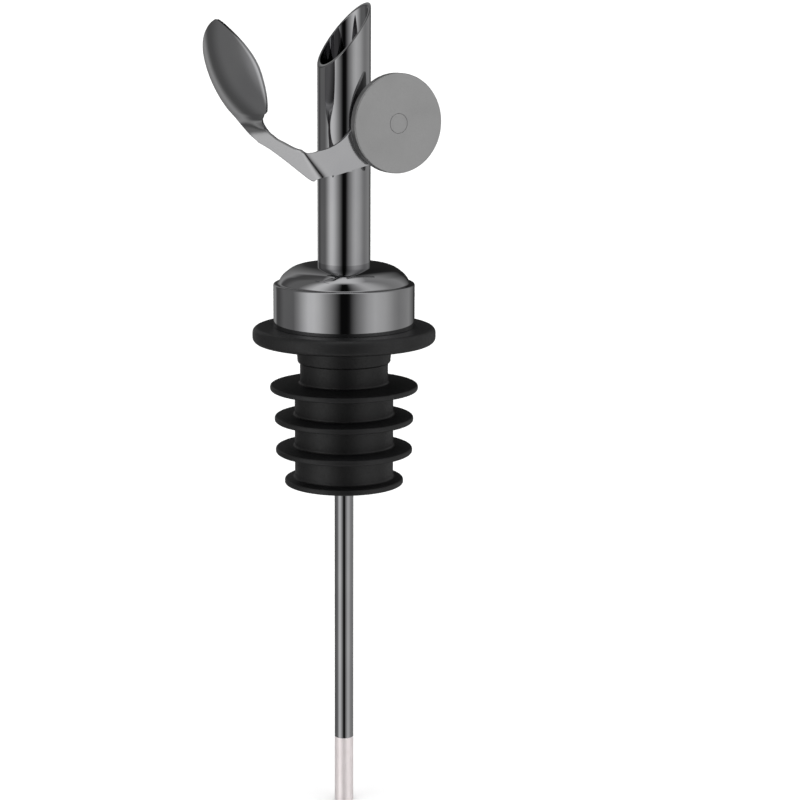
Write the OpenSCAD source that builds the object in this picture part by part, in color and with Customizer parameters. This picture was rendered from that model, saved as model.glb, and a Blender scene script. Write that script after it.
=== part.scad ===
// Free-flow bottle pourer with a counterweighted flap.
// Millimetres. +Z points up along the spout. The origin is on the axis, on the underside
// of the stopper's top flange, where it seats on the bottle's lip.
// The spout pours towards +X. The flap is drawn wide open, hanging towards -X.

/* [Spout] */
// Outer diameter of the spout tube
tube_od = 8.2; // [7:0.1:10]
// Wall of the spout tube
tube_wall = 0.45; // [0.3:0.05:0.6]
// Height of the middle of the slanted mouth above the bottle's lip
mouth_z = 47.3; // [44:0.1:58]
// Slope of the mouth above the horizontal, in degrees
mouth_slope = 50; // [45:1:55]
// How far the belled foot of the tube stands proud of it, under the dome
tube_foot = 0.6; // [0.4:0.1:1]

/* [Collar] */
// Outer diameter of the drawn metal collar
collar_od = 22; // [20:0.1:27]
// Sheet thickness of the collar
collar_wall = 0.6; // [0.4:0.1:0.8]
// Height of the straight skirt
skirt_h = 6.8; // [6.5:0.1:9]
// Height of the dome above the skirt
dome_h = 2.9; // [2.6:0.1:4]
// Rounding of the dome's shoulder
dome_round = 2; // [1.5:0.1:2.4]
// Width of the ledge between the skirt and the dome
ledge = 0.55; // [0.4:0.05:0.8]

/* [Stopper] */
// Diameter of the flange that sits on the bottle's lip
flange_od = 28.6; // [26:0.1:34]
// Thickness of that flange
flange_t = 2.5; // [2:0.1:3.5]
// Diameter of the boss under the flange
boss_od = 15.1; // [14.6:0.1:16.5]
// Height of the boss
boss_h = 3.2; // [2:0.1:4]
// Diameter of the neck above the first fin
neck_od = 13.8; // [13:0.1:14.5]
// Diameter of the body between the fins
body_od = 15.5; // [14.8:0.1:17]
// Diameters of the sealing fins, from the top
fin_ods = [23.2, 21.8, 21.5];
// Depth of the first fin's top below the lip
fin_depth = 6.4; // [5:0.1:8]
// Distance from one fin to the next
fin_pitch = 5; // [4.6:0.1:6.2]
// Thickness of a fin's rim
fin_rim = 0.85; // [0.7:0.05:1.1]
// How far a fin's top dips from its root to its rim
fin_dip = 0.3; // [0.1:0.05:0.5]
// How much thicker a fin is at its root, underneath
fin_taper = 0.4; // [0.2:0.05:0.6]
// Diameter of the bottom rim, which guides the stopper into the bottle
pilot_od = 18.7; // [17:0.1:20]

/* [Liner] */
// Outer diameter of the metal liner that the rubber is pushed on to
liner_od = 10.8; // [9:0.1:11.4]
// Wall of the liner
liner_wall = 0.5; // [0.3:0.05:0.7]
// How far the liner's end is set in from the stopper's bottom face
liner_recess = 0.4; // [0.2:0.1:1]

/* [Air vent] */
// Outer diameter of the vent tube
vent_od = 3; // [2.5:0.1:3.6]
// Bore of the vent tube
vent_bore = 2.2; // [1.6:0.1:2.4]
// Bend radius of the vent tube, to its centre line
vent_bend = 3; // [2.6:0.1:3.6]
// Depth of the metal vent tube's end below the lip
vent_depth = 64.7; // [50:0.1:90]
// Length of the clear end sleeve below the metal
tip_len = 10.8; // [6:0.1:20]
// Bore of the clear end sleeve
tip_bore = 1.3; // [1:0.1:1.5]
// How far the sleeve's spigot goes up inside the vent tube
spigot_len = 4; // [2:0.1:8]

/* [Hinge] */
// Diameter of the hinge pin
pin_d = 1.2; // [1:0.05:1.4]
// Running clearance around the pin in the lug, on the radius
pin_clearance = 0.05; // [0.02:0.01:0.09]
// Distance of the pin's centre from the back of the spout tube
pin_standoff = 0.85; // [0.75:0.05:1]
// Distance of the pin's centre below the middle of the mouth
pin_drop = 19.3; // [17:0.1:20.5]
// How far the lug reaches past the middle plane, away from the arm
lug_reach = 2; // [1:0.1:3]
// Gap between the lug and the arm, and between the lug and the pin's head
lug_gap = 0.2; // [0.05:0.05:0.3]
// Wall of the lug around the pin
lug_wall = 0.5; // [0.4:0.05:0.6]
// How far the pin's head stands past its shank, and its thickness
pin_head = 0.4; // [0.2:0.05:0.4]
// Angle that the flap opens through, in degrees
open_angle = 60; // [55:1:64]

/* [Flap] */
// Sheet thickness of the flap
sheet = 0.5; // [0.4:0.05:0.7]
// Gap between the tube and the arm
arm_gap = 0.3; // [0.25:0.05:0.8]
// Gap between the closed leaf and the mouth's edge
seat_gap = 0.1; // [0.05:0.05:0.3]
// Half the width of the leaf
leaf_half_w = 8.2; // [6.5:0.1:9]
// Length of the leaf from its widest point to its tip
leaf_tip_len = 8.2; // [7.8:0.1:9.5]
// Length of the leaf from its widest point to its rounded lower end
leaf_root_len = 9; // [8.5:0.1:9.5]
// Radius that the leaf is dished to, outside
leaf_dish_r = 19.8; // [17:0.1:26]
// How far the leaf is set over towards the arm
leaf_side = 0.8; // [0:0.1:1.5]
// Angle that the stem is folded through from the arm, in degrees
fold_angle = 55; // [50:1:60]
// Lean of the fold from the vertical when the flap is open, in degrees
fold_lean = 39.6; // [36:0.1:43]
// Length of the fold across the strip
fold_len = 5.4; // [5:0.1:5.5]
// Radius of the curve along the arm's upper edge
arm_curve_r = 8.4; // [8:0.1:8.4]

/* [Counterweight] */
// Diameter of the counterweight disc
disc_d = 15.2; // [13:0.1:16.5]
// Thickness of the disc
disc_t = 1.4; // [1:0.1:2.5]
// Distance of the disc's centre from the pin, along the arm
disc_reach = 11; // [10:0.1:12]
// Height of the disc's centre above the pin when the flap is open
disc_rise = 6.1; // [5:0.1:8]
// Rounding of the disc's edges
disc_edge = 0.2; // [0.1:0.05:0.4]
// Diameter of the rivet that holds the disc
rivet_d = 3; // [2:0.1:4]
// How far the rivet's inner head stands past the shank
rivet_lip = 0.7; // [0.5:0.1:1]
// Thickness of the rivet's inner head
rivet_head_t = 0.35; // [0.2:0.05:0.4]

/* [Hidden] */
$fn = 96;

slack = 1;              // how far a cutting solid runs past what it cuts
spigot_play = 0.02;     // radial room around the sleeve's spigot
arc_steps = 6;          // chords in a rounded corner of an outline
rim_round = 0.3;        // rounding of the fins' rims and the boss
root_round = 0.35;      // fillets where fins and boss meet the core
flange_round = 0.9;     // rounding of the top flange's rim
boss_draft = 0.3;       // how much the boss narrows towards its lower end
stem_short = 1;         // how far below the mouth's lower edge the stem stops
leaf_steps = 14;        // chords in each half of the leaf's outline
bead_r = 0.3;           // rounding of the collar's ledge, where the skirt turns in
ledge_slope = 15;       // slope of the dome's side where it leaves the ledge, in degrees
vent_headroom = 1.6;    // room between the liner's flange and the vent's air hole
vent_inset = 0.12;      // how far the vent's end is set in from the collar's face
pad_inset = 2.4;        // how far the arm's round end is hidden inside the disc's edge
leaf_wide_y = 0.2;      // the leaf's widest point, along it from its middle
leaf_fullness = 0.75;   // how pointed the leaf is towards its tip: 0.5 is an ellipse
tip_angle = 88;         // where the outline's chords stop, so that each end is a short flat
fold_back = 0.93;       // from the pin back to the fold's lower end
fold_drop = 1.92;       // from the pin down to the fold's lower end
arm_curve_back = 2.85;  // from the pin back to the centre of the arm's upper curve
arm_curve_rise = 10.65; // height of that centre above the pin
arm_curve_end = 37;     // where the upper curve runs out towards the disc, in degrees

// The stem's two edges, each point as [distance from the fold, distance up along it].
stem_upper = [[1.06, 0.8], [2.16, 2.47], [2.97, 4], [3.24, 6.5], [3.3, 8.5]];
stem_lower = [[0.89, 0.17], [1.75, 0.24], [2.15, 0.45], [2.38, 0.81], [2.89, 2.25],
              [3.77, 5.04], [4.78, 7.9], [5.58, 9.45], [6.24, 10.93], [6.5, 12.3], [6.2, 14]];

fin_count = len(fin_ods);

tube_r = tube_od / 2;
collar_r = collar_od / 2;
collar_in = collar_r - collar_wall;
liner_r = liner_od / 2;
liner_in = liner_r - liner_wall;
vent_r = vent_od / 2;

step_z = flange_t + skirt_h;
dome_z = step_z + dome_h;
dome_r = collar_r - ledge;
dome_in = dome_r - collar_wall;
foot_t = tube_foot;
tube_bottom = dome_z - collar_wall - foot_t;
pilot_z = -(fin_depth + fin_count * fin_pitch);
bottom_z = pilot_z - fin_dip - fin_rim;
air_z = flange_t + liner_wall + vent_r + vent_headroom;

pin_r = pin_d / 2;
lug_r = pin_r + lug_wall;
pin_x = -(tube_r + pin_standoff);
pin_z = mouth_z - pin_drop;
arm_in = tube_r + arm_gap;
arm_out = arm_in + sheet;
disc_out = arm_out + disc_t;
disc_x = pin_x + disc_reach;
disc_z = pin_z + disc_rise;
rivet_r = rivet_d / 2;
pad_r = disc_d / 2 - pad_inset;

// The leaf, open: its own frame has +Y up its length and +Z away from the mouth.
leaf_lean = 90 - mouth_slope - open_angle;
leaf_x = pin_x - pin_x * cos(open_angle) - pin_drop * sin(open_angle);
leaf_z = pin_z - pin_x * sin(open_angle) + pin_drop * cos(open_angle);
leaf_in_r = leaf_dish_r - sheet;
mouth_half = tube_r / cos(mouth_slope);
seat_h = leaf_in_r - sqrt(leaf_in_r * leaf_in_r - mouth_half * mouth_half) + seat_gap;
fold_x = pin_x - fold_back;
fold_z = pin_z - fold_drop;
fold_top_x = fold_x - fold_len * sin(fold_lean);
fold_top_z = fold_z + fold_len * cos(fold_lean);
arm_curve_x = pin_x - arm_curve_back;
arm_curve_z = pin_z + arm_curve_rise;

// Points of an arc about [x, y], from angle a to angle b.
function arc(x, y, r, a, b) =
    [for (i = [0 : arc_steps]) let (t = a + (b - a) * i / arc_steps)
        [x + r * cos(t), y + r * sin(t)]];

// The points of an outline's right half, and its mirror image to close it.
function mirrored(half) =
    concat(half, [for (i = [len(half) - 1 : -1 : 0]) [-half[i][0], half[i][1]]]);

// Half the width of the leaf at height y: drawn to a point above the widest place,
// and half an ellipse below it.
function leaf_half(y) = y > leaf_wide_y
    ? leaf_half_w * pow(1 - pow((y - leaf_wide_y) / leaf_tip_len, 2), leaf_fullness)
    : leaf_half_w * sqrt(1 - pow((leaf_wide_y - y) / leaf_root_len, 2));

leaf_half_outline = [for (i = [-leaf_steps : leaf_steps])
    let (y = leaf_wide_y + (i < 0 ? leaf_root_len : leaf_tip_len) * sin(tip_angle * i / leaf_steps))
        [leaf_half(y), y]];

// Turns a drawing in X and Y into an upright one in X and Z, w thick towards -Y.
module upright(w) {
    rotate([90, 0, 0]) linear_extrude(w) children();
}

// A shaft along Y, centred on [x, z], between two distances from the middle plane.
module cross_shaft(x, z, r, y0, y1) {
    translate([x, y0, z]) rotate([-90, 0, 0]) cylinder(r = r, h = y1 - y0);
}

module spout_tube() {
    color("#6f6f72") difference() {
        union() {
            translate([0, 0, tube_bottom]) cylinder(r = tube_r, h = mouth_z + tube_od - tube_bottom);
            translate([0, 0, tube_bottom]) cylinder(r = tube_r + tube_foot, h = foot_t);
        }
        translate([0, 0, tube_bottom - slack])
            cylinder(r = tube_r - tube_wall, h = mouth_z + 2 * tube_od);
        translate([0, 0, mouth_z]) rotate([0, -mouth_slope, 0])
            translate([-2 * tube_od, -2 * tube_od, 0]) cube([4 * tube_od, 4 * tube_od, 3 * tube_od]);
    }
}

// The collar's outline from its lower edge up over the ledge and the dome.
function collar_outline(r_skirt, r_dome, top, corner) = concat(
    [[r_skirt, flange_t]],
    arc(r_skirt - bead_r, step_z - bead_r - corner, bead_r, 0, 90),
    arc(r_dome + bead_r / 3, step_z - corner + bead_r, bead_r, 270, 180),
    arc(r_dome - 2 * bead_r / 3 - dome_round, top - dome_round, dome_round, ledge_slope, 90));

module collar_shell() {
    color("#5c5c60") difference() {
        rotate_extrude() polygon(concat([[0, flange_t]],
            collar_outline(collar_r, dome_r, dome_z, 0), [[0, dome_z]]));
        rotate_extrude() polygon(concat([[0, flange_t - slack], [collar_in, flange_t - slack]],
            collar_outline(collar_in, dome_in, dome_z - collar_wall, collar_wall),
            [[0, dome_z - collar_wall]]));
        translate([0, 0, dome_z - collar_wall - slack])
            cylinder(r = tube_r, h = collar_wall + 2 * slack);
        cross_shaft(0, air_z, vent_r, collar_in - slack, collar_r + slack);
    }
}

module liner() {
    color("#8c8c8f") difference() {
        union() {
            translate([0, 0, flange_t]) cylinder(r = collar_in, h = liner_wall);
            translate([0, 0, bottom_z + liner_recess])
                cylinder(r = liner_r, h = flange_t - bottom_z - liner_recess + liner_wall / 2);
        }
        translate([0, 0, bottom_z - slack])
            cylinder(r = liner_in, h = flange_t - bottom_z + liner_wall + 2 * slack);
    }
}

// One sealing fin's outline: it leaves the core above it with a small fillet, dips slightly
// outwards to a rounded rim, and thickens again down to the core below it.
function fin_outline(z, r_above, r_core, r_fin) = concat(
    fin_top(z, r_above, r_fin),
    arc(r_fin - rim_round, z - fin_dip - fin_rim + rim_round, rim_round, 0, -80),
    arc(r_core + root_round, z - fin_dip - fin_rim - fin_taper - root_round, root_round, 90, 180));

function fin_top(z, r_above, r_fin) = concat(
    arc(r_above + root_round, z + root_round, root_round, 180, 270),
    arc(r_fin - rim_round, z - fin_dip - rim_round, rim_round, 80, 0));

module stopper() {
    neck_r = neck_od / 2;
    body_r = body_od / 2;
    fins = [for (i = [0 : fin_count - 1])
        each fin_outline(-fin_depth - i * fin_pitch, i == 0 ? neck_r : body_r, body_r,
            fin_ods[i] / 2)];
    color("#262627") rotate_extrude() polygon(concat(
        [[liner_r, bottom_z], [liner_r, flange_t]],
        arc(flange_od / 2 - flange_round, flange_t - flange_round, flange_round, 90, 0),
        arc(flange_od / 2 - flange_round, flange_round, flange_round, 0, -90),
        arc(boss_od / 2 + root_round, -root_round, root_round, 90, 180),
        arc(boss_od / 2 - boss_draft - rim_round, rim_round - boss_h, rim_round, 0, -90),
        [[neck_r, -boss_h]],
        fins,
        fin_top(pilot_z, body_r, pilot_od / 2),
        arc(pilot_od / 2 - rim_round, bottom_z + rim_round, rim_round, 0, -90)));
}

module vent_tube() {
    bend_z = air_z - vent_bend;
    color("#77777a") {
        difference() {
            translate([0, 0, -vent_depth]) cylinder(r = vent_r, h = vent_depth + bend_z);
            translate([0, 0, -vent_depth - slack])
                cylinder(d = vent_bore, h = vent_depth + bend_z + 2 * slack);
        }
        translate([0, vent_bend, bend_z]) rotate([90, 0, -90]) rotate_extrude(angle = 90)
            translate([vent_bend, 0]) difference() {
                circle(r = vent_r);
                circle(d = vent_bore);
            }
        difference() {
            cross_shaft(0, air_z, vent_r, vent_bend, collar_r - vent_inset);
            cross_shaft(0, air_z, vent_bore / 2, vent_bend - slack, collar_r + slack);
        }
    }
}

module vent_tip() {
    color("#e6dcdc") difference() {
        union() {
            translate([0, 0, -vent_depth - tip_len]) cylinder(r = vent_r, h = tip_len);
            translate([0, 0, -vent_depth - slack])
                cylinder(r = vent_bore / 2 - spigot_play, h = spigot_len + slack);
        }
        translate([0, 0, -vent_depth - tip_len - slack])
            cylinder(d = tip_bore, h = tip_len + spigot_len + 2 * slack);
    }
}

module hinge_lug() {
    color("#5c5c60") difference() {
        translate([0, lug_reach, 0]) upright(lug_reach + arm_in - lug_gap) union() {
            translate([pin_x, pin_z]) circle(r = lug_r);
            translate([pin_x, pin_z - lug_r]) square([tube_r, 2 * lug_r]);
        }
        translate([0, 0, pin_z - 2 * lug_r]) cylinder(r = tube_r, h = 4 * lug_r);
        translate([0, -2 * tube_r, pin_z - 2 * lug_r]) cube([2 * tube_r, 4 * tube_r, 4 * lug_r]);
        cross_shaft(pin_x, pin_z, pin_r + pin_clearance, -arm_out, arm_out);
    }
}

// The pin is welded to the arm's inner face and headed over beyond the lug.
module hinge_pin() {
    color("#8c8c8f") union() {
        cross_shaft(pin_x, pin_z, pin_r, -arm_in, lug_reach + lug_gap + pin_head);
        cross_shaft(pin_x, pin_z, pin_r + pin_head, lug_reach + lug_gap,
            lug_reach + lug_gap + pin_head);
    }
}

// The arm, with the rivet's hole through its round end.
module flap_arm() {
    translate([0, -arm_in, 0]) upright(sheet) difference() {
        union() {
            translate([disc_x, disc_z]) circle(r = pad_r);
            difference() {
                polygon([[fold_x, fold_z], [disc_x, disc_z - pad_r], [disc_x, disc_z],
                    [disc_x - pad_r / 2, disc_z + pad_r * sin(60)],
                    [arm_curve_x + arm_curve_r * cos(arm_curve_end),
                        arm_curve_z - arm_curve_r * sin(arm_curve_end)],
                    [arm_curve_x, arm_curve_z], [fold_top_x, fold_top_z]]);
                translate([arm_curve_x, arm_curve_z]) circle(r = arm_curve_r);
            }
        }
        translate([disc_x, disc_z]) circle(r = rivet_r);
    }
}

// The stem lies in its own plane, which hinges on the fold's outer line.
module flap_stem() {
    lower_end = [for (p = stem_lower) [-p[0], p[1]]];
    upper_end = [for (i = [len(stem_upper) - 1 : -1 : 0]) [-stem_upper[i][0],
        fold_len + stem_upper[i][1]]];
    translate([fold_x, -arm_out, fold_z]) rotate([0, -fold_lean, 0]) rotate([0, 0, -fold_angle])
        translate([0, sheet, 0]) upright(sheet)
            polygon(concat([[0, 0]], lower_end, upper_end, [[0, fold_len]]));
}

// Puts a drawing made in the leaf's own frame where the open leaf is.
module leaf_place() {
    translate([leaf_x, 0, leaf_z]) rotate([0, leaf_lean, 0]) rotate([90, 0, -90]) children();
}

module flap_leaf() {
    leaf_place() intersection() {
        translate([0, 0, seat_h + sheet - leaf_dish_r]) difference() {
            sphere(r = leaf_dish_r);
            sphere(r = leaf_in_r);
        }
        translate([leaf_side, 0, -leaf_dish_r / 4])
            linear_extrude(leaf_dish_r / 2) polygon(mirrored(leaf_half_outline));
    }
}

// The stem stops short of the mouth's lower edge, where the leaf carries on.
module flap() {
    color("#8a8a8d") union() {
        flap_arm();
        difference() {
            flap_stem();
            leaf_place() translate([-leaf_half_w, -mouth_half - stem_short, -leaf_half_w])
                cube(2 * leaf_half_w);
        }
        flap_leaf();
    }
}

// The disc lies on the arm's outer face, with its edges rounded.
module counterweight() {
    r = disc_d / 2;
    color("#a9a9ab") difference() {
        translate([disc_x, -arm_out, disc_z]) rotate([90, 0, 0])
            rotate_extrude() polygon(concat([[0, 0]],
                arc(r - disc_edge, disc_edge, disc_edge, -90, 0),
                arc(r - disc_edge, disc_t - disc_edge, disc_edge, 0, 90), [[0, disc_t]]));
        cross_shaft(disc_x, disc_z, rivet_r, -disc_out - slack, disc_out + slack);
    }
}

module rivet() {
    color("#a2a2a4") union() {
        cross_shaft(disc_x, disc_z, rivet_r + rivet_lip, -arm_in, rivet_head_t - arm_in);
        cross_shaft(disc_x, disc_z, rivet_r, -disc_out, rivet_head_t - arm_in);
    }
}

spout_tube();
collar_shell();
liner();
stopper();
vent_tube();
vent_tip();
hinge_lug();
hinge_pin();
flap();
counterweight();
rivet();
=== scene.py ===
from math import cos, pi, radians, sin, sqrt

import bmesh
import bpy
from mathutils import Matrix, Vector


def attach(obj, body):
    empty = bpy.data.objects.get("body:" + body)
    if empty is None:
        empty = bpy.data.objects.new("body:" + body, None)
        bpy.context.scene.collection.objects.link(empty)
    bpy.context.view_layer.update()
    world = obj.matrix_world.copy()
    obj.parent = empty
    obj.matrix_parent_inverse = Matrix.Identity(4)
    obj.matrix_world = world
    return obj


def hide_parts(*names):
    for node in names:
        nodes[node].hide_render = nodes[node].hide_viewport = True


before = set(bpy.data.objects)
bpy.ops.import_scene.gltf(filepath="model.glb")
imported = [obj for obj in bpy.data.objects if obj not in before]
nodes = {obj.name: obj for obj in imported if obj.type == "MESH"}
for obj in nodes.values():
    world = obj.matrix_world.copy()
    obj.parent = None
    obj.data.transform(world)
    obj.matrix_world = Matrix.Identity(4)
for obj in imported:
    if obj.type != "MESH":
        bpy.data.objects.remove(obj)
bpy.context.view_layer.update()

# ---------------------------------------------------------------- spout tube
# The real spout is a drawn stainless tube with a thin wall, cut off at a slant, polished and
# plated black chrome. Its belled foot is held under the collar's dome. The piece is one ring
# outline spun about the axis, cut along the mouth, with the cut edge just broken.
MM = 0.001
TURNS = 192
TUBE_R, TUBE_BORE_R = 4.1, 3.65
FOOT_R, FOOT_Z, FOOT_T = 4.7, 11.0, 0.6
MOUTH_Z, MOUTH_SLOPE = 47.3, radians(50)
MOUTH_EDGE, BLANK_TOP = 0.07, 59.6


def lathe(outline, turns=TURNS, steps=6):
    """A ring spun from a closed outline of (radius, height, rounding) corners, in mm."""
    bm = bmesh.new()
    corners = [bm.verts.new((r * MM, 0, z * MM)) for r, z, _ in outline]
    bm.faces.new(corners)
    for corner, (_, _, rounding) in zip(corners, outline):
        if rounding:
            bmesh.ops.bevel(bm, geom=[corner], offset=rounding * MM, offset_type="OFFSET",
                            affect="VERTICES", segments=steps, profile=0.5, material=-1)
    bmesh.ops.delete(bm, geom=bm.faces[:], context="FACES_ONLY")
    bmesh.ops.spin(bm, geom=bm.verts[:] + bm.edges[:], cent=(0, 0, 0), axis=(0, 0, 1),
                   dvec=(0, 0, 0), angle=2 * pi, steps=turns, use_merge=True)
    return bm


def piece(name, bm, body, replaced, material, sharp=30):
    """Makes a mesh a finished piece: normals out, smooth up to the sharp angle, riding on its body."""
    bmesh.ops.recalc_face_normals(bm, faces=bm.faces[:])
    mesh = bpy.data.meshes.new(name)
    bm.to_mesh(mesh)
    bm.free()
    return finished(name, mesh, body, replaced, material, sharp)


def finished(name, mesh, body, replaced, material, sharp):
    """Smooths and paints a mesh, and hands it over as the piece that stands for a CAD node."""
    for face in mesh.polygons:
        face.use_smooth = True
    mesh.set_sharp_from_angle(angle=radians(sharp))
    mesh.materials.clear()
    mesh.materials.append(material)
    made = bpy.data.objects.new(name, mesh)
    bpy.context.scene.collection.objects.link(made)
    weighted = made.modifiers.new("even_shading", "WEIGHTED_NORMAL")
    weighted.keep_sharp = True
    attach(made, body)
    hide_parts(replaced)
    return made


def linear(hex_code):
    """An sRGB hex colour as linear RGBA."""
    shares = [int(hex_code[i:i + 2], 16) / 255 for i in (1, 3, 5)]
    return [s / 12.92 if s <= 0.04045 else ((s + 0.055) / 1.055) ** 2.4 for s in shares] + [1]


def add(tree, kind, settings=(), links=()):
    """Adds a node. Each setting is an input's value or a property; each link feeds an input."""
    made = tree.nodes.new(kind)
    for key, value in dict(settings).items():
        if isinstance(key, int) or key in made.inputs:
            made.inputs[key].default_value = value
        else:
            setattr(made, key, value)
    for key, socket in dict(links).items():
        tree.links.new(socket, made.inputs[key])
    return made


def new_material(name):
    """A material whose tree holds only its Principled shader and its output."""
    material = bpy.data.materials.new(name)
    material.use_nodes = True
    tree = material.node_tree
    tree.nodes.clear()
    shader = add(tree, "ShaderNodeBsdfPrincipled")
    add(tree, "ShaderNodeOutputMaterial", {}, {"Surface": shader.outputs["BSDF"]})
    return material, tree, shader


def ramp(tree, factor, stops):
    """A colour ramp through (place, hex or grey) stops."""
    made = add(tree, "ShaderNodeValToRGB", {}, {"Fac": factor})
    points = made.color_ramp.elements
    while len(points) < len(stops):
        points.new(0.5)
    for point, (place, colour) in zip(points, stops):
        point.position = place
        point.color = linear(colour) if isinstance(colour, str) else (colour, colour, colour, 1)
    return made.outputs["Color"]


def polished_plate(name, shade, worn_shade, roughness, haze_mm=9.0, line_mm=0.25):
    """Polished and plated steel: a clear dark mirror with a faint cloudy haze and hairline
    polishing marks that only soften its reflections."""
    material, tree, shader = new_material(name)
    place = add(tree, "ShaderNodeTexCoord").outputs["Object"]
    haze = add(tree, "ShaderNodeTexNoise", {"Scale": 1 / (haze_mm * MM), "Detail": 3.0},
               {"Vector": place})
    marks = add(tree, "ShaderNodeTexNoise", {"Scale": 1 / (line_mm * MM), "Detail": 2.0},
                {"Vector": place})
    colour = ramp(tree, haze.outputs["Fac"], [(0.35, shade), (0.7, worn_shade)])
    tree.links.new(colour, shader.inputs["Base Color"])
    rough = add(tree, "ShaderNodeMapRange",
                {"From Min": 0.3, "From Max": 0.7, "To Min": roughness * 0.85,
                 "To Max": roughness * 1.2}, {"Value": haze.outputs["Fac"]})
    tree.links.new(rough.outputs["Result"], shader.inputs["Roughness"])
    bump = add(tree, "ShaderNodeBump", {"Strength": 0.02, "Distance": 0.01 * MM},
               {"Height": marks.outputs["Fac"]})
    tree.links.new(bump.outputs["Normal"], shader.inputs["Normal"])
    shader.inputs["Metallic"].default_value = 1.0
    return material


# Black chrome on polished stainless steel: a smoky neutral mirror.
black_chrome = polished_plate("black_chrome_on_polished_steel", "#9c9c9e", "#a3a3a4", 0.035)

bm = lathe([(TUBE_BORE_R, FOOT_Z, 0), (FOOT_R, FOOT_Z, 0), (FOOT_R, FOOT_Z + FOOT_T, 0),
            (TUBE_R, FOOT_Z + FOOT_T, 0), (TUBE_R, BLANK_TOP, 0),
            (TUBE_BORE_R, BLANK_TOP, 0)])
bmesh.ops.bisect_plane(bm, geom=bm.verts[:] + bm.edges[:] + bm.faces[:],
                       plane_co=(0, 0, MOUTH_Z * MM),
                       plane_no=(-sin(MOUTH_SLOPE), 0, cos(MOUTH_SLOPE)), clear_outer=True)
open_edges = [edge for edge in bm.edges if edge.is_boundary]
bmesh.ops.bridge_loops(bm, edges=open_edges)
bmesh.ops.bevel(bm, geom=open_edges, offset=MOUTH_EDGE * MM, offset_type="OFFSET",
                affect="EDGES", segments=2, profile=0.5, material=-1)
piece("spout_tube_polished", bm, "pourer", "spout_tube", black_chrome)

# -------------------------------------------------------------------- collar
# The collar is a cup drawn from steel sheet: a straight skirt, a small ledge, a slanted shoulder
# and a flat crown with a hole for the spout. It is polished and plated like the spout, and the
# air hole is punched in its side.
COLLAR_R, COLLAR_WALL, DOME_R = 11.0, 0.6, 10.22
SKIRT_Z, STEP_Z, DOME_Z = 2.5, 9.3, 12.2
SHOULDER_R, SHOULDER_Z, SHOULDER_ROUND, DOME_ROUND = 9.9, 10.3, 0.9, 1.4
CROWN_R, LEDGE_ROUND, SKIRT_EDGE, DOME_FOOT_ROUND, SKIRT_ROWS = 7.5, 0.3, 0.08, 0.2, 8
AIR_Z, AIR_R, DRILL_OVER = 6.1, 1.5, 2


def skirt_rows(r, low, high):
    """Points down a straight skirt, so that its faces stay small round the punched hole."""
    return [(r, high + (low - high) * i / SKIRT_ROWS, 0) for i in range(1, SKIRT_ROWS)]


def cut(bm, cutters):
    """Cuts solids out of a mesh and gives back the mesh that is left."""
    mesh = bpy.data.meshes.new("uncut")
    bmesh.ops.recalc_face_normals(bm, faces=bm.faces[:])
    bm.to_mesh(mesh)
    bm.free()
    blank = bpy.data.objects.new("uncut", mesh)
    bpy.context.scene.collection.objects.link(blank)
    tools = []
    for cutter in cutters:
        tool_mesh = bpy.data.meshes.new("cutter")
        cutter.to_mesh(tool_mesh)
        cutter.free()
        tool = bpy.data.objects.new("cutter", tool_mesh)
        bpy.context.scene.collection.objects.link(tool)
        tools.append(tool)
        boolean = blank.modifiers.new("cut", "BOOLEAN")
        boolean.operation = "DIFFERENCE"
        boolean.solver = "EXACT"
        boolean.object = tool
    bpy.context.view_layer.update()
    seen = blank.evaluated_get(bpy.context.evaluated_depsgraph_get())
    left = bpy.data.meshes.new_from_object(seen)
    for spare in [blank] + tools:
        bpy.data.objects.remove(spare)
    return left


def cross_drill(x, z, r, y0, y1, segments=64):
    """A solid round bar along Y, in mm, to cut a hole with."""
    bm = bmesh.new()
    bmesh.ops.create_cone(bm, cap_ends=True, segments=segments, radius1=r * MM, radius2=r * MM,
                          depth=(y1 - y0) * MM)
    turned = Matrix.Translation((x * MM, (y0 + y1) / 2 * MM, z * MM)) @ Matrix.Rotation(
        pi / 2, 4, "X")
    bmesh.ops.transform(bm, matrix=turned, verts=bm.verts[:])
    bmesh.ops.recalc_face_normals(bm, faces=bm.faces[:])
    return bm


inner_r, inner_dome = COLLAR_R - COLLAR_WALL, DOME_R - COLLAR_WALL
inner_step = STEP_Z - COLLAR_WALL
bm = lathe(
    [(inner_r, SKIRT_Z, 0), (COLLAR_R, SKIRT_Z, SKIRT_EDGE)]
    + skirt_rows(COLLAR_R, STEP_Z, SKIRT_Z)
    + [(COLLAR_R, STEP_Z, LEDGE_ROUND), (DOME_R, STEP_Z, DOME_FOOT_ROUND),
       (SHOULDER_R, SHOULDER_Z, SHOULDER_ROUND), (CROWN_R, DOME_Z, DOME_ROUND),
       (TUBE_R, DOME_Z, 0), (TUBE_R, DOME_Z - COLLAR_WALL, 0),
       (CROWN_R, DOME_Z - COLLAR_WALL, DOME_ROUND - COLLAR_WALL),
       (SHOULDER_R - COLLAR_WALL, SHOULDER_Z - COLLAR_WALL / 2, SHOULDER_ROUND),
       (inner_dome, inner_step, LEDGE_ROUND), (inner_r, inner_step, LEDGE_ROUND)]
    + skirt_rows(inner_r, SKIRT_Z, inner_step))
drill = cross_drill(0, AIR_Z, AIR_R, inner_r - DRILL_OVER, COLLAR_R + DRILL_OVER)
mesh = cut(bm, [drill])
finished("collar_polished", mesh, "pourer", "collar_shell", black_chrome, 30)

# --------------------------------------------------------------------- liner
# A flanged steel sleeve inside the collar carries the rubber. It is turned or drawn stainless,
# left plain, and only its bottom end shows, up inside the stopper round the vent tube.


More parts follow.
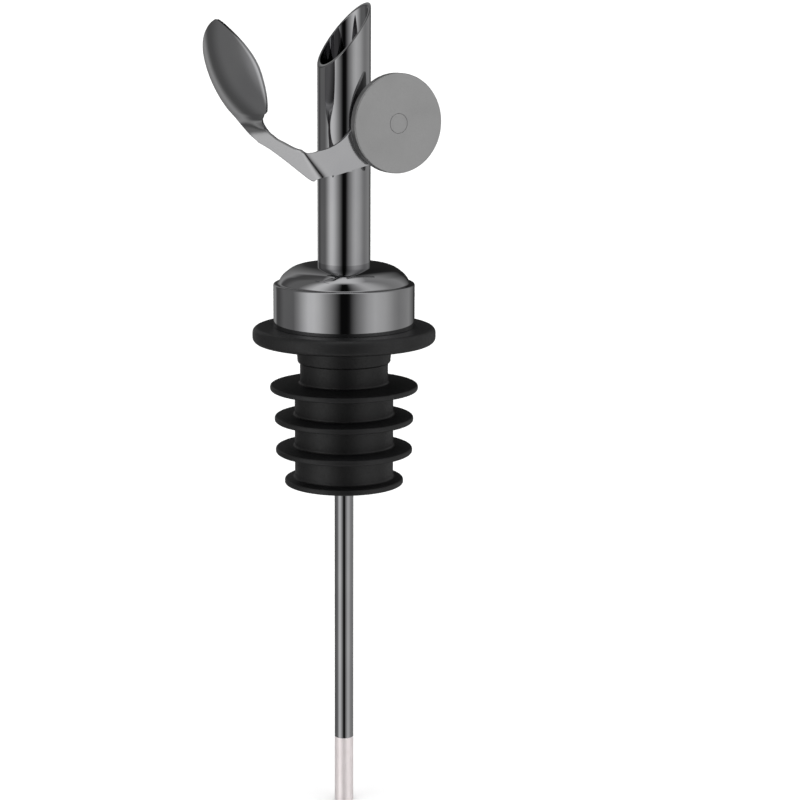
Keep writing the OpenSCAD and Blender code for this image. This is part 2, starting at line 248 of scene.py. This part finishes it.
def satin_metal(name, shade, light_shade, roughness, grain_mm, depth_mm):
    """Plain or tumbled metal: a grey sheen broken by fine matt grain of the given size."""
    material, tree, shader = new_material(name)
    place = add(tree, "ShaderNodeTexCoord").outputs["Object"]
    grain = add(tree, "ShaderNodeTexNoise", {"Scale": 1 / (grain_mm * MM), "Detail": 4.0},
                {"Vector": place})
    cloud = add(tree, "ShaderNodeTexNoise", {"Scale": 1 / (20 * grain_mm * MM), "Detail": 2.0},
                {"Vector": place})
    mixed = add(tree, "ShaderNodeMath", {"operation": "ADD"},
                {0: grain.outputs["Fac"], 1: cloud.outputs["Fac"]})
    colour = ramp(tree, mixed.outputs["Value"], [(0.7, shade), (1.0, light_shade)])
    tree.links.new(colour, shader.inputs["Base Color"])
    rough = add(tree, "ShaderNodeMapRange",
                {"From Min": 0.3, "From Max": 0.7, "To Min": roughness - 0.05,
                 "To Max": roughness + 0.05}, {"Value": grain.outputs["Fac"]})
    tree.links.new(rough.outputs["Result"], shader.inputs["Roughness"])
    bump = add(tree, "ShaderNodeBump", {"Strength": 0.25, "Distance": depth_mm * MM},
               {"Height": grain.outputs["Fac"]})
    tree.links.new(bump.outputs["Normal"], shader.inputs["Normal"])
    shader.inputs["Metallic"].default_value = 1.0
    return material


def repaint(name, material):
    """Gives a carried-over CAD node its finish."""
    nodes[name].data.materials.clear()
    nodes[name].data.materials.append(material)


# Plain stainless steel, as drawn: mid grey, slightly dull.
plain_steel = satin_metal("plain_stainless_steel", "#b4b4b3", "#c3c3c2", 0.3, 0.2, 0.01)
repaint("liner", plain_steel)

# ------------------------------------------------------------------- stopper
# One moulding of black rubber: a flange that sits on the bottle's lip, a boss under it, and
# three thin sealing fins over a smaller bottom rim. The mould leaves soft edges and a matt skin.
LINER_R, NECK_R, BODY_R, BOTTOM_Z = 5.4, 6.9, 7.75, -22.55
FLANGE_R, FLANGE_T, FLANGE_ROUND = 14.3, 2.5, 0.9
BOSS_R, BOSS_DRAFT, BOSS_H = 7.55, 0.3, 3.2
FINS = [(11.6, -6.4), (10.9, -11.4), (10.75, -16.4), (9.35, -21.4)]
FIN_DIP, FIN_RIM, FIN_TAPER, FIN_ROUND, ROOT_ROUND = 0.3, 0.85, 0.4, 0.3, 0.35

outline = [(LINER_R, BOTTOM_Z, 0), (LINER_R, FLANGE_T, 0), (FLANGE_R, FLANGE_T, FLANGE_ROUND),
           (FLANGE_R, 0, FLANGE_ROUND), (BOSS_R, 0, ROOT_ROUND),
           (BOSS_R - BOSS_DRAFT, -BOSS_H, FIN_ROUND), (NECK_R, -BOSS_H, 0)]
above = NECK_R
for fin_r, fin_z in FINS:
    rim_low = fin_z - FIN_DIP - FIN_RIM
    outline += [(above, fin_z, ROOT_ROUND), (fin_r, fin_z - FIN_DIP, FIN_ROUND),
                (fin_r, rim_low, FIN_ROUND)]
    if rim_low > BOTTOM_Z:
        outline.append((BODY_R, rim_low - FIN_TAPER, ROOT_ROUND))
    above = BODY_R

# Moulded black rubber: near black, matt, with a fine skin grain and a faint grey bloom.
rubber, tree, shader = new_material("moulded_black_rubber")
place = add(tree, "ShaderNodeTexCoord").outputs["Object"]
grain = add(tree, "ShaderNodeTexNoise", {"Scale": 1 / (0.35 * MM), "Detail": 5.0,
                                         "Roughness": 0.65}, {"Vector": place})
bloom = add(tree, "ShaderNodeTexNoise", {"Scale": 1 / (4.0 * MM), "Detail": 3.0},
            {"Vector": place})
colour = ramp(tree, bloom.outputs["Fac"], [(0.3, "#0d0d0e"), (0.75, "#161617")])
tree.links.new(colour, shader.inputs["Base Color"])
rough = add(tree, "ShaderNodeMapRange",
            {"From Min": 0.3, "From Max": 0.7, "To Min": 0.4, "To Max": 0.58},
            {"Value": grain.outputs["Fac"]})
tree.links.new(rough.outputs["Result"], shader.inputs["Roughness"])
bump = add(tree, "ShaderNodeBump", {"Strength": 0.35, "Distance": 0.04 * MM},
           {"Height": grain.outputs["Fac"]})
tree.links.new(bump.outputs["Normal"], shader.inputs["Normal"])
shader.inputs["Specular IOR Level"].default_value = 0.45

piece("rubber_stopper", lathe(outline), "pourer", "stopper", rubber, 50)

# ------------------------------------------------------------------ air vent
# Thin drawn tube lets air into the bottle: it hangs down the middle of the stopper, bends in
# the collar and ends in its air hole. A milky plastic sleeve is plugged into its lower end.
repaint("vent_tube", black_chrome)

# Milky plastic tube: pearly white skin, glossy enough to carry soft grey bands down its length.
milky, tree, shader = new_material("milky_plastic_tube")
place = add(tree, "ShaderNodeTexCoord").outputs["Object"]
cloud = add(tree, "ShaderNodeTexNoise", {"Scale": 1 / (1.5 * MM), "Detail": 3.0},
            {"Vector": place})
colour = ramp(tree, cloud.outputs["Fac"], [(0.3, "#f2e9e9"), (0.7, "#f8f0f0")])
tree.links.new(colour, shader.inputs["Base Color"])
draw = add(tree, "ShaderNodeMapRange", {"To Min": 0.32, "To Max": 0.38},
           {"Value": cloud.outputs["Fac"]})
tree.links.new(draw.outputs["Result"], shader.inputs["Roughness"])
shader.inputs["Metallic"].default_value = 0.4
repaint("vent_tip", milky)

# --------------------------------------------------------------------- hinge
# A small lug brazed to the back of the spout is drilled for a plain steel pin. The pin is welded
# to the flap's arm, runs through the lug and is headed over beyond it.
repaint("hinge_lug", black_chrome)
repaint("hinge_pin", plain_steel)

# ---------------------------------------------------------------------- flap
# The flap is one steel blank: a dished leaf that covers the mouth, a narrow stem, and an arm
# beside the spout, folded from the stem. It is pressed, folded, polished and plated.
SHEET, ARM_Y = 0.5, -4.9
LEAF_X, LEAF_Z, LEAF_LEAN, LEAF_SIDE = -19.189, 41.937, radians(-20), 0.8
DISH_R, DISH_RISE = 19.8, 1.684
LEAF_W, LEAF_WIDE_Y, LEAF_TIP, LEAF_ROOT, TIP_POWER = 8.2, 0.2, 8.2, 9.0, 0.75
LEAF_FAR_ROOT, LEAF_END_Y, TIP_TURN = 10.6, -7.6, 0.49 * pi
FOLD = Vector((-5.88, ARM_Y, 26.08))
FOLD_LEAN, FOLD_TURN, FOLD_LEN = radians(39.6), radians(55), 5.4
STEM_UPPER = [(0, 0), (1.06, 0.8), (2.16, 2.47), (2.97, 4.0), (3.24, 6.5)]
STEM_LOWER = [(0, 0), (1.75, 0.24), (2.38, 0.81), (2.89, 2.25), (3.77, 5.04), (4.78, 7.9),
              (5.58, 9.45), (6.24, 10.93), (6.5, 12.3)]
CURVE_X, CURVE_Z, CURVE_R, CURVE_END_X, CURVE_END_Z = -7.8, 38.65, 8.4, -1.09, 33.6
DISC_X, DISC_Z, PAD_R, RIVET_R = 6.05, 34.1, 5.2, 1.5
EDGE_ROUND, EDGE_ANGLE, MERGE, SLIVER = 0.09, radians(50), 0.002, 0.001
TIP_ROWS, ROOT_ROWS, STEM_ROWS, ARM_ROWS, END_ROWS, COLS = 26, 26, 44, 40, 14, 28
ROOT_ROW = TIP_ROWS + ROOT_ROWS
FOLD_ROW = ROOT_ROW + STEM_ROWS
ROWS = FOLD_ROW + ARM_ROWS + END_ROWS
# Rows that are softened, how many to each side, and how often.
SOFTENED = [(ROOT_ROW, 9, 22), (FOLD_ROW, 5, 20)]


def leaf_point(y, across):
    """A point on the dish, at a height and at a share of the width from the arm's side."""
    if y > LEAF_WIDE_Y:
        half = LEAF_W * max(1 - ((y - LEAF_WIDE_Y) / LEAF_TIP) ** 2, 0) ** TIP_POWER
    else:
        root = LEAF_ROOT if across < 0.5 else LEAF_FAR_ROOT
        half = LEAF_W * sqrt(1 - ((y - LEAF_WIDE_Y) / root) ** 2)
    side = LEAF_SIDE + half * (1 - 2 * across)
    rise = sqrt(DISH_R ** 2 - y ** 2 - side ** 2) - DISH_R + DISH_RISE
    return Vector((LEAF_X + y * sin(LEAF_LEAN) - rise * cos(LEAF_LEAN), -side,
                   LEAF_Z + y * cos(LEAF_LEAN) + rise * sin(LEAF_LEAN)))


def curve_through(points, share):
    """A point on a smooth curve through the given points, at a share of the way along them."""
    place = share * (len(points) - 1)
    i = min(int(place), len(points) - 2)
    t = place - i
    a, b = Vector(points[max(i - 1, 0)]), Vector(points[i])
    c, d = Vector(points[i + 1]), Vector(points[min(i + 2, len(points) - 1)])
    return 0.5 * (2 * b + (c - a) * t + (2 * a - 5 * b + 4 * c - d) * t ** 2
                  + (3 * b - a - 3 * c + d) * t ** 3)


def stem_point(share, across):
    """A point on the stem's flat, at a share of the way from the fold to the leaf."""
    upper, lower = curve_through(STEM_UPPER, share), curve_through(STEM_LOWER, share)
    upper.y += FOLD_LEN
    away, up = upper.lerp(lower, across)
    fold_up = Vector((-sin(FOLD_LEAN), 0, cos(FOLD_LEAN)))
    fold_away = Vector((-cos(FOLD_TURN) * cos(FOLD_LEAN), sin(FOLD_TURN),
                        -cos(FOLD_TURN) * sin(FOLD_LEAN)))
    return FOLD + away * fold_away + up * fold_up


def arm_point(share, end_share, across):
    """A point on the arm, at a share of the way from the fold to the disc and round its end."""
    pad_x = DISC_X + PAD_R * sin(pi / 2 * end_share)
    pad_half = PAD_R * cos(pi / 2 * end_share)
    start_x = FOLD.x - FOLD_LEN * sin(FOLD_LEAN)
    x = start_x + (DISC_X - start_x) * share
    pad_start_x, pad_start_z = DISC_X - PAD_R / 2, DISC_Z + PAD_R * sin(pi / 3)
    if x < CURVE_END_X:
        z = CURVE_Z - sqrt(CURVE_R ** 2 - (x - CURVE_X) ** 2)
    elif x < pad_start_x:
        z = CURVE_END_Z + (pad_start_z - CURVE_END_Z) * (x - CURVE_END_X) / (
            pad_start_x - CURVE_END_X)
    else:
        z = DISC_Z + sqrt(PAD_R ** 2 - (x - DISC_X) ** 2)
    upper = Vector((x, ARM_Y, z))
    lower = FOLD.lerp(Vector((DISC_X, ARM_Y, DISC_Z - PAD_R)), share)
    if end_share:
        upper = Vector((pad_x, ARM_Y, DISC_Z + pad_half))
        lower = Vector((pad_x, ARM_Y, DISC_Z - pad_half))
    return upper.lerp(lower, across)


def flap_point(row, col):
    """A point on the flap's outer face, for a row from the leaf's tip to the arm's round end."""
    across = col / COLS
    if row <= TIP_ROWS:
        point = leaf_point(LEAF_WIDE_Y + LEAF_TIP * cos(TIP_TURN * row / TIP_ROWS
                                                        + pi / 2 - TIP_TURN), across)
    elif row <= ROOT_ROW:
        down = sin(pi / 2 * (row - TIP_ROWS) / ROOT_ROWS)
        point = leaf_point(LEAF_WIDE_Y + (LEAF_END_Y - LEAF_WIDE_Y) * down, across)
    elif row <= FOLD_ROW:
        point = stem_point((FOLD_ROW - row) / (STEM_ROWS - 1), across)
    elif row <= FOLD_ROW + ARM_ROWS:
        point = arm_point((row - FOLD_ROW) / ARM_ROWS, 0, across)
    else:
        point = arm_point(1, (row - FOLD_ROW - ARM_ROWS) / END_ROWS, across)
    return point * MM


bm = bmesh.new()
bmesh.ops.create_grid(bm, x_segments=ROWS, y_segments=COLS, size=1)
rows = {}
for vert in bm.verts:
    rows[vert] = round((vert.co.x + 1) / 2 * ROWS)
    vert.co = flap_point(rows[vert], round((vert.co.y + 1) / 2 * COLS))
for at_row, reach, times in SOFTENED:
    softened = [vert for vert in bm.verts if abs(rows[vert] - at_row) <= reach]
    for _ in range(times):
        bmesh.ops.smooth_vert(bm, verts=softened, factor=0.5, use_axis_x=True, use_axis_y=True,
                              use_axis_z=True)
bmesh.ops.remove_doubles(bm, verts=bm.verts[:], dist=MERGE * MM)
bmesh.ops.dissolve_degenerate(bm, dist=SLIVER * MM, edges=bm.edges[:])
bmesh.ops.recalc_face_normals(bm, faces=bm.faces[:])
middle = min(bm.faces, key=lambda f: (f.calc_center_median()
                                      - Vector((LEAF_X * MM, 0, LEAF_Z * MM))).length)
if middle.normal.x > 0:
    bmesh.ops.reverse_faces(bm, faces=bm.faces[:])
mesh = bpy.data.meshes.new("flap_sheet")
bm.to_mesh(mesh)
bm.free()
flap = bpy.data.objects.new("flap_sheet", mesh)
bpy.context.scene.collection.objects.link(flap)
wall = flap.modifiers.new("sheet", "SOLIDIFY")
wall.thickness = SHEET * MM
wall.offset = -1
wall.use_even_offset = True
edge = flap.modifiers.new("edge", "BEVEL")
edge.width = EDGE_ROUND * MM
edge.segments = 2
edge.limit_method = "ANGLE"
edge.angle_limit = EDGE_ANGLE
bpy.context.view_layer.update()
pressed = bpy.data.meshes.new_from_object(
    flap.evaluated_get(bpy.context.evaluated_depsgraph_get()))
bpy.data.objects.remove(flap)
bm = bmesh.new()
bm.from_mesh(pressed)
drill = cross_drill(DISC_X, DISC_Z, RIVET_R, ARM_Y - DRILL_OVER, ARM_Y + DRILL_OVER)
mesh = cut(bm, [drill])

# The same black chrome on the pressed sheet, which is buffed softer than the drawn tube.
buffed_chrome = polished_plate("black_chrome_on_buffed_sheet", "#a6a6a8", "#adadae", 0.16)
finished("flap_pressed", mesh, "flap_set", "flap", buffed_chrome, 40)

# ------------------------------------------------------------- counterweight
# A thick steel disc holds the flap's tail down. It is blanked, tumbled to a satin grey and held
# on the arm by a rivet that is ground flush with the disc's face.
DISC_R, DISC_T, DISC_EDGE, RIVET_EDGE, RIVET_TURNS = 7.6, 1.4, 0.2, 0.07, 64
RIVET_HEAD_R, RIVET_HEAD_T, RIVET_HEAD_ROUND, POLE_R = 2.2, 0.35, 0.1, 0.01

# Tumbled, plated steel: flat even grey, with a satin skin that blurs every reflection.
satin_steel = satin_metal("tumbled_satin_steel", "#a8a8a8", "#b0b0b0", 0.5, 0.25, 0.015)


def on_arm(bm):
    """Turns a piece drawn about Z so that it stands out from the arm."""
    turned = (Matrix.Translation((DISC_X * MM, ARM_Y * MM, DISC_Z * MM))
              @ Matrix.Rotation(pi / 2, 4, "X"))
    bmesh.ops.transform(bm, matrix=turned, verts=bm.verts[:])
    return bm


disc = lathe([(RIVET_R, 0, 0), (DISC_R, 0, DISC_EDGE), (DISC_R, DISC_T, DISC_EDGE),
              (RIVET_R, DISC_T, RIVET_EDGE)])
piece("counterweight_disc", on_arm(disc), "flap_set", "counterweight", satin_steel)
head_z = -SHEET - RIVET_HEAD_T
rivet = lathe([(POLE_R, head_z, 0), (RIVET_HEAD_R, head_z, RIVET_HEAD_ROUND),
               (RIVET_HEAD_R, -SHEET, 0), (RIVET_R, -SHEET, 0), (RIVET_R, DISC_T, RIVET_EDGE),
               (POLE_R, DISC_T, 0)], RIVET_TURNS)
bmesh.ops.holes_fill(rivet, edges=[e for e in rivet.edges if e.is_boundary])
piece("rivet_set", on_arm(rivet), "flap_set", "rivet", satin_steel)

# ------------------------------------------------------- floor, light, camera
# A plain white floor lit evenly from above, in a studio room. The room is bands of light and
# dark, in degrees round from the camera: a wide soft light each side and dark between them.
LOOK = radians(28.5)
DISTANCE, CAMERA_Z, PITCH = 0.330, 0.05641, radians(11.2565)
FLOOR_Z, FLOOR_SIZE = -75.6, 60.0
ROOM_LIGHT, CEILING, CEILING_LOW, CEILING_HIGH = 1.5, 0.8, 0.93, 0.995
SUN_SPREAD, SUN_STRENGTH = radians(70), 2.4

camera_data = bpy.data.cameras.new("camera")
camera_data.lens = 96.38
camera_data.sensor_width = 36
camera_data.shift_x = 0.07
camera_data.clip_start, camera_data.clip_end = 0.01, 200
camera = bpy.data.objects.new("camera", camera_data)
camera.location = (-sin(LOOK) * DISTANCE, -cos(LOOK) * DISTANCE, CAMERA_Z)
camera.rotation_euler = (pi / 2 - PITCH, 0, -LOOK)
bpy.context.scene.collection.objects.link(camera)
bpy.context.scene.camera = camera

bm = bmesh.new()
bmesh.ops.create_grid(bm, x_segments=1, y_segments=1, size=FLOOR_SIZE / 2)
bmesh.ops.translate(bm, vec=(0, 0, FLOOR_Z * MM), verts=bm.verts[:])
mesh = bpy.data.meshes.new("floor")
bm.to_mesh(mesh)
bm.free()
floor = bpy.data.objects.new("floor", mesh)
bpy.context.scene.collection.objects.link(floor)
floor.visible_glossy = False
white_floor, tree, shader = new_material("matt_white_floor")
place = add(tree, "ShaderNodeTexCoord").outputs["Object"]
cloud = add(tree, "ShaderNodeTexNoise", {"Scale": 0.5, "Detail": 2.0}, {"Vector": place})
colour = ramp(tree, cloud.outputs["Fac"], [(0.3, "#f6f6f6"), (0.7, "#f8f8f8")])
tree.links.new(colour, shader.inputs["Base Color"])
shader.inputs["Roughness"].default_value = 1.0
shader.inputs["Specular IOR Level"].default_value = 0.0
mesh.materials.append(white_floor)

world = bpy.data.worlds.new("studio")
bpy.context.scene.world = world
world.use_nodes = True
tree = world.node_tree
tree.nodes.clear()
way = add(tree, "ShaderNodeTexCoord").outputs["Generated"]
turned = add(tree, "ShaderNodeVectorRotate",
             {"rotation_type": "Z_AXIS", "Angle": pi / 2 + LOOK}, {"Vector": way})
parts = add(tree, "ShaderNodeSeparateXYZ", {}, {"Vector": turned.outputs["Vector"]})
around = add(tree, "ShaderNodeMath", {"operation": "ARCTAN2"},
             {0: parts.outputs["Y"], 1: parts.outputs["X"]})
share = add(tree, "ShaderNodeMapRange", {"From Min": -pi, "From Max": pi},
            {"Value": around.outputs["Value"]})
BANDS = [(-180, 0.02), (-160, 0.3), (-150, 0.45), (-140, 0.12), (-130, 0.14), (-115, 0.26),
         (-100, 0.26), (-90, 0.26), (-80, 0.49), (-70, 0.85), (-60, 1.2), (-50, 1.22),
         (-40, 1.0), (-30, 0.66), (-20, 0.37), (-14, 0.2), (-9, 0.08), (-5, 0.008),
         (5, 0.008), (9, 0.02), (13, 0.12), (20, 0.31), (30, 0.54), (40, 0.81), (52, 0.96),
         (70, 0.81), (90, 0.5), (100, 0.42), (130, 0.5), (145, 0.25), (160, 0.03), (180, 0.02)]
bands = ramp(tree, share.outputs["Result"],
             [((degrees_round + 180) / 360, light / ROOM_LIGHT) for degrees_round, light in BANDS])
top = add(tree, "ShaderNodeMapRange", {"From Min": CEILING_LOW, "From Max": CEILING_HIGH},
          {"Value": parts.outputs["Z"]})
mixed = add(tree, "ShaderNodeMix", {"data_type": "RGBA"},
            {"Factor": top.outputs["Result"]})
tree.links.new(bands, mixed.inputs["A"])
mixed.inputs["B"].default_value = (CEILING, CEILING, CEILING, 1)
background = add(tree, "ShaderNodeBackground", {"Strength": ROOM_LIGHT},
                 {"Color": mixed.outputs["Result"]})
add(tree, "ShaderNodeOutputWorld", {}, {"Surface": background.outputs["Background"]})

key_data = bpy.data.lights.new("overhead_light", "SUN")
key_data.angle = SUN_SPREAD
key_data.energy = SUN_STRENGTH
key = bpy.data.objects.new("overhead_light", key_data)
key.visible_glossy = False
bpy.context.scene.collection.objects.link(key)

bpy.context.scene.view_settings.view_transform = "Standard"
